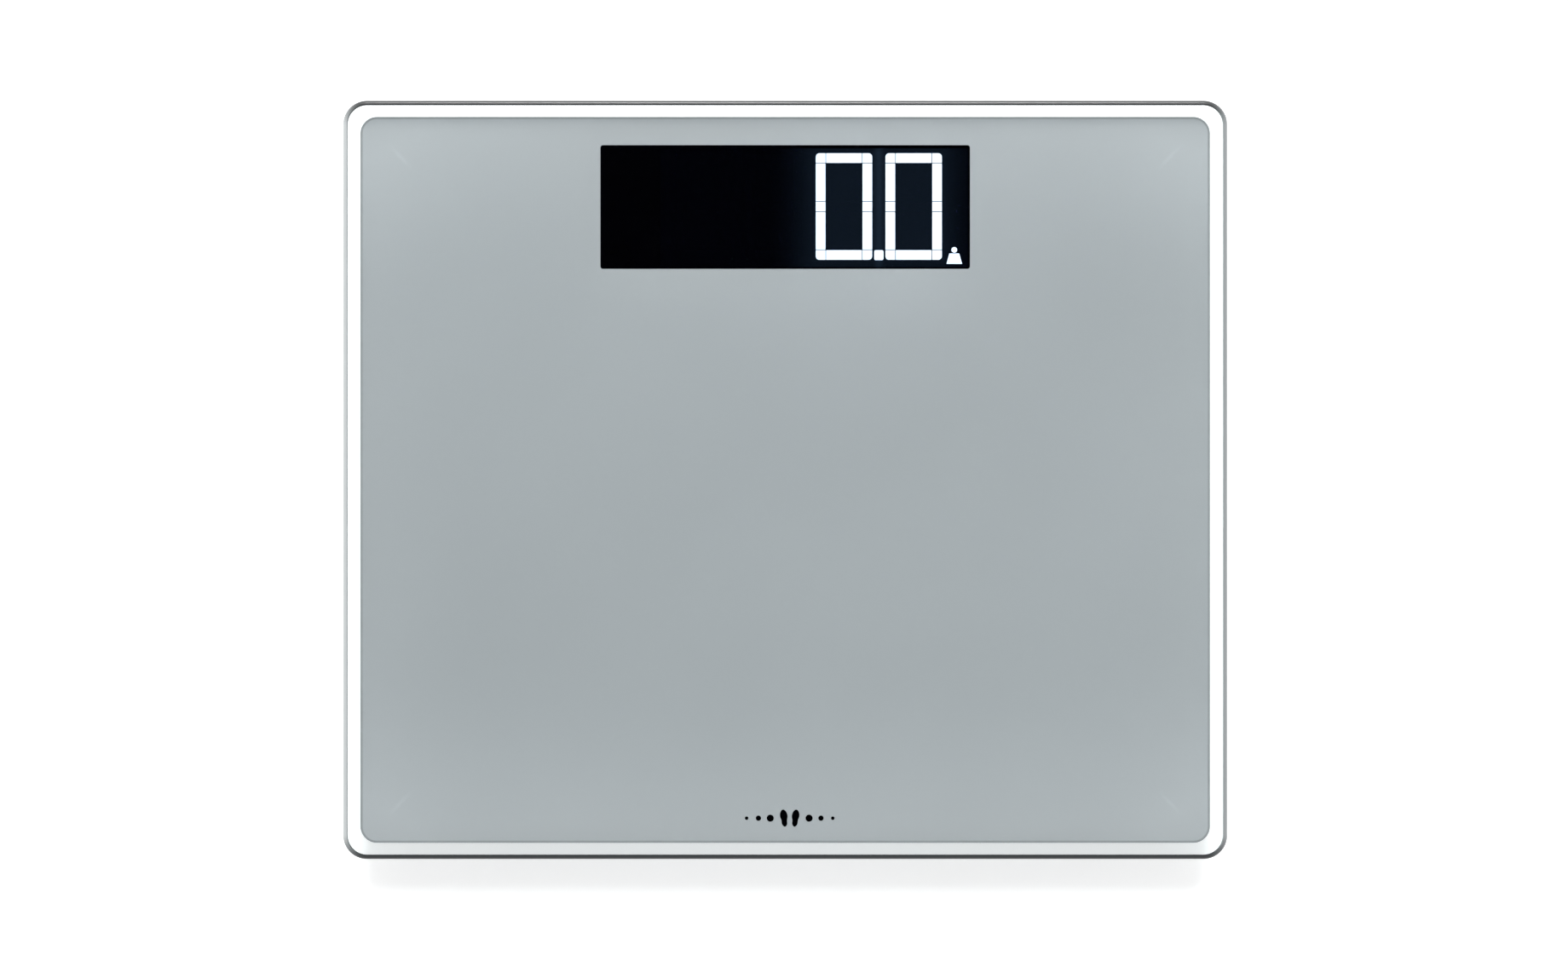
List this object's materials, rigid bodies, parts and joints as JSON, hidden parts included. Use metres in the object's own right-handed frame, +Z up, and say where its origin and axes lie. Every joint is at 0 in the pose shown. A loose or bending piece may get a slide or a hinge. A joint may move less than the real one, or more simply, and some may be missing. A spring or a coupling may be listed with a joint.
{
  "type": "digital_bathroom_scale",
  "caption": "Digital bathroom scale with a grey-printed glass platform, black display window, lit digits, weighing feet and a battery door underneath",
  "frame": {"origin": "On the floor, under the middle of the glass", "axes": "+X to the user's right, +Y towards the display edge, +Z up"},
  "size_m": [0.373, 0.32, 0.024],
  "materials": {
    "glass": "clear tempered glass with ground edges, its underside printed grey",
    "tape": "black acrylic foam tape",
    "housing_plastic": "light grey ABS, fine texture",
    "button_plastic": "mid grey ABS",
    "switch_plastic": "black nylon",
    "reflector_plastic": "black polycarbonate",
    "segment_lit": "milky resin lit from behind",
    "led_package": "white LED packages",
    "filter_film": "smoked polycarbonate film",
    "board_laminate": "green solder mask on glass-epoxy laminate",
    "contact_metal": "nickel-plated steel",
    "chip_epoxy": "moulded black epoxy",
    "component_case": "mixed small component bodies",
    "connector_plastic": "natural nylon",
    "screw_steel": "zinc-plated steel",
    "cell_sleeve": "printed shrink sleeve over the cell can",
    "cell_steel": "spring steel plate",
    "potting": "white silicone potting",
    "pad_rubber": "dark grey soft rubber",
    "wire_red": "PVC insulation",
    "wire_black": "PVC insulation",
    "wire_white": "PVC insulation",
    "channel_plastic": "white PVC extrusion"
  },
  "bodies": {
    "platform": {"glass_platform": "glass", "housing_bond_tape": "tape", "display_housing": "housing_plastic", "rear_cover": "housing_plastic", "rear_cover_screws": "screw_steel", "unit_switch": "switch_plastic", "display_reflector": "reflector_plastic", "segment_diffusers": "segment_lit", "segment_leds": "led_package", "display_filter": "filter_film", "led_board": "board_laminate", "main_board": "board_laminate", "board_header_pins": "contact_metal", "weighing_chip": "chip_epoxy", "board_components": "component_case", "lead_connectors": "connector_plastic", "display_screws": "screw_steel", "main_board_screws": "screw_steel", "battery_springs": "contact_metal", "battery_plates": "contact_metal", "battery_lead_red": "wire_red", "battery_lead_black": "wire_black", "foot_bond_pads": "tape", "load_cell_screws": "screw_steel", "battery_cell_1": "cell_sleeve", "battery_cell_2": "cell_sleeve", "battery_cell_3": "cell_sleeve", "battery_cell_4": "cell_sleeve", "foot_carrier_front_left": "housing_plastic", "load_cell_front_left": "cell_steel", "strain_gauge_front_left": "potting", "load_cell_lead_front_left": "wire_white", "cable_channel_front_left": "channel_plastic", "foot_carrier_front_right": "housing_plastic", "load_cell_front_right": "cell_steel", "strain_gauge_front_right": "potting", "load_cell_lead_front_right": "wire_white", "cable_channel_front_right": "channel_plastic", "foot_carrier_rear_left": "housing_plastic", "load_cell_rear_left": "cell_steel", "strain_gauge_rear_left": "potting", "load_cell_lead_rear_left": "wire_white", "cable_channel_rear_left": "channel_plastic", "foot_carrier_rear_right": "housing_plastic", "load_cell_rear_right": "cell_steel", "strain_gauge_rear_right": "potting", "load_cell_lead_rear_right": "wire_white", "cable_channel_rear_right": "channel_plastic"},
    "battery_door": {"battery_door": "housing_plastic"},
    "unit_button": {"unit_button": "button_plastic"},
    "foot_front_left": {"foot_cap_front_left": "housing_plastic", "foot_pad_front_left": "pad_rubber"},
    "foot_front_right": {"foot_cap_front_right": "housing_plastic", "foot_pad_front_right": "pad_rubber"},
    "foot_rear_left": {"foot_cap_rear_left": "housing_plastic", "foot_pad_rear_left": "pad_rubber"},
    "foot_rear_right": {"foot_cap_rear_right": "housing_plastic", "foot_pad_rear_right": "pad_rubber"}
  },
  "joints": [
    {"name": "battery_door_hinge", "type": "hinge", "parent": "platform", "child": "battery_door", "pos_m": [-0.08435, 0.06, 0.00435], "axis": [0, 1, 0], "range_deg": [0, 90]},
    {"name": "unit_button_press", "type": "slide", "parent": "platform", "child": "unit_button", "axis": [0, 0, 1], "range_m": [0, 0.0008], "stiffness_N_per_m": 2000, "springref_m": -0.00015},
    {"name": "foot_front_left_load", "type": "slide", "parent": "platform", "child": "foot_front_left", "axis": [0, 0, 1], "range_m": [0, 0.0005], "stiffness_N_per_m": 2000, "deforming": ["load_cell_front_left"]},
    {"name": "foot_front_right_load", "type": "slide", "parent": "platform", "child": "foot_front_right", "axis": [0, 0, 1], "range_m": [0, 0.0005], "stiffness_N_per_m": 2000, "deforming": ["load_cell_front_right"]},
    {"name": "foot_rear_left_load", "type": "slide", "parent": "platform", "child": "foot_rear_left", "axis": [0, 0, 1], "range_m": [0, 0.0005], "stiffness_N_per_m": 2000, "deforming": ["load_cell_rear_left"]},
    {"name": "foot_rear_right_load", "type": "slide", "parent": "platform", "child": "foot_rear_right", "axis": [0, 0, 1], "range_m": [0, 0.0005], "stiffness_N_per_m": 2000, "deforming": ["load_cell_rear_right"]}
  ]
}
